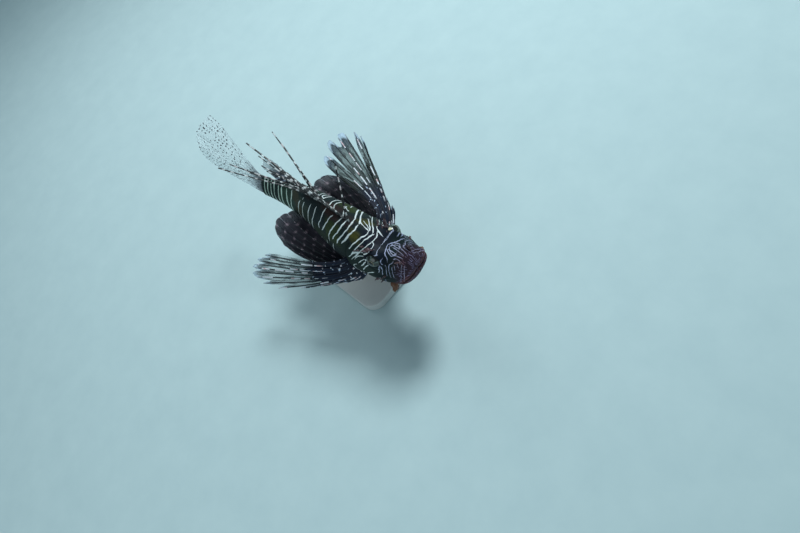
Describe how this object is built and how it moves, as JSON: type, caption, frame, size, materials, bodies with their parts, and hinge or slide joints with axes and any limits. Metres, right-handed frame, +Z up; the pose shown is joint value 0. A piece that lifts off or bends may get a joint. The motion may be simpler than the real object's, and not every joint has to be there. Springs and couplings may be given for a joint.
{
  "type": "red lionfish model on a display stand",
  "caption": "Life-size still model of a swimming red lionfish with fanned pectoral fins and long dorsal spines, held on a flat stand.",
  "frame": {"origin": "middle of the underside of the stand's base, where it rests", "axes": "+X towards the fish's nose, +Y towards its left side, +Z up; the fish is level above the base"},
  "size_m": [0.2981, 0.1824, 0.1795],
  "materials": {
    "head_skin": "moist skin, maroon brown with fine pale lines",
    "body_skin": "moist skin, near-black olive with paired white stripes",
    "fin_skin": "thin skin, dark purple with pale spots",
    "tail_fin_skin": "thin clear skin with small dark dots",
    "eye": "wet and glossy",
    "stand_paint": "satin pale paint",
    "stand_steel": "brushed"
  },
  "bodies": {
    "root": {"head": "head_skin", "gill_cover_left": "head_skin", "gill_cover_right": "head_skin", "eye_left": "eye", "eye_right": "eye", "body": "body_skin", "tail_stalk": "body_skin", "fin_dorsal_spiny": "body_skin", "fin_dorsal_soft": "tail_fin_skin", "fin_anal": "tail_fin_skin", "fin_caudal": "tail_fin_skin", "fin_pectoral_left": "fin_skin", "fin_pectoral_right": "fin_skin", "fin_pelvic_left": "fin_skin", "fin_pelvic_right": "fin_skin", "stand_base": "stand_paint", "stand_rod_front": "stand_steel", "stand_rod_rear": "stand_steel"}
  },
  "joints": []
}
